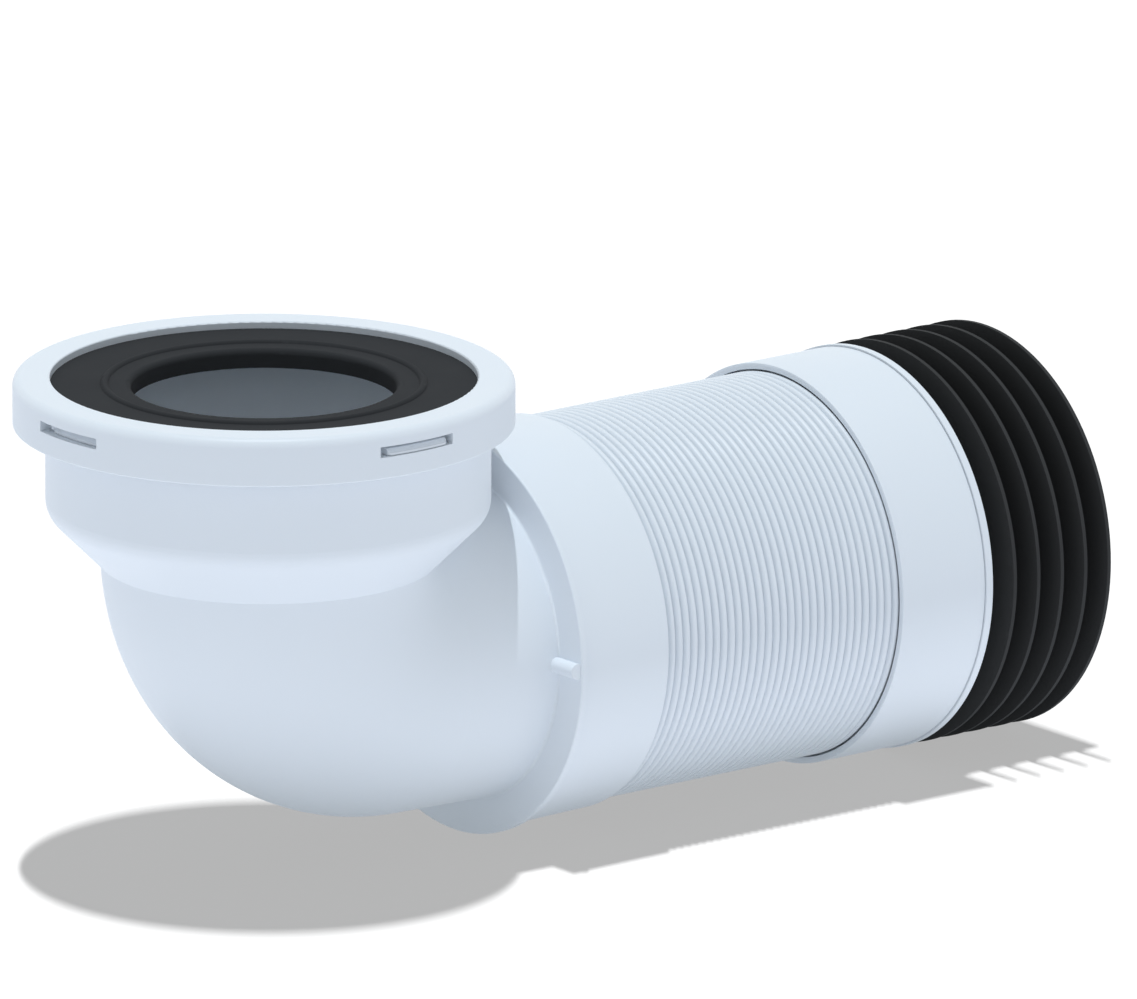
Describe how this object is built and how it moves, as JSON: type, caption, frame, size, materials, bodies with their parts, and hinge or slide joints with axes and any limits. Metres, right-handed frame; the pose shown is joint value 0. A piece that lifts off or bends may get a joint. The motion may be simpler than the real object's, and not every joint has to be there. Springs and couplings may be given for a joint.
{
  "type": "toilet pan connector",
  "caption": "White 90 degree pan connector with a rubber-sealed round mouth and a bellows pipe that pulls out to a finned black outlet seal.",
  "frame": {"origin": "centre of the inlet seal's hole, in the plane of the cup's rim", "axes": "+Z out of the mouth, towards the pan's spout; +X along the outlet pipe, away from the elbow"},
  "size_m": [0.3421, 0.1438, 0.1459],
  "materials": {
    "elbow_plastic": "satin moulded polypropylene",
    "ring_plastic": "satin moulded polypropylene",
    "bellows_plastic": "satin blow-moulded polypropylene",
    "seal_rubber": "matt thermoplastic rubber"
  },
  "bodies": {
    "elbow": {"inlet_elbow": "elbow_plastic", "inlet_ring": "ring_plastic", "inlet_seal": "seal_rubber", "elbow_cuff_ring": "ring_plastic", "bellows": "bellows_plastic"},
    "outlet": {"outlet_cuff_ring": "ring_plastic", "outlet_tube": "elbow_plastic", "outlet_seal": "seal_rubber"}
  },
  "joints": [
    {"name": "bellows_stretch", "type": "slide", "parent": "elbow", "child": "outlet", "axis": [1, 0, 0], "range_m": [0, 0.085], "deforming": ["bellows"]}
  ]
}
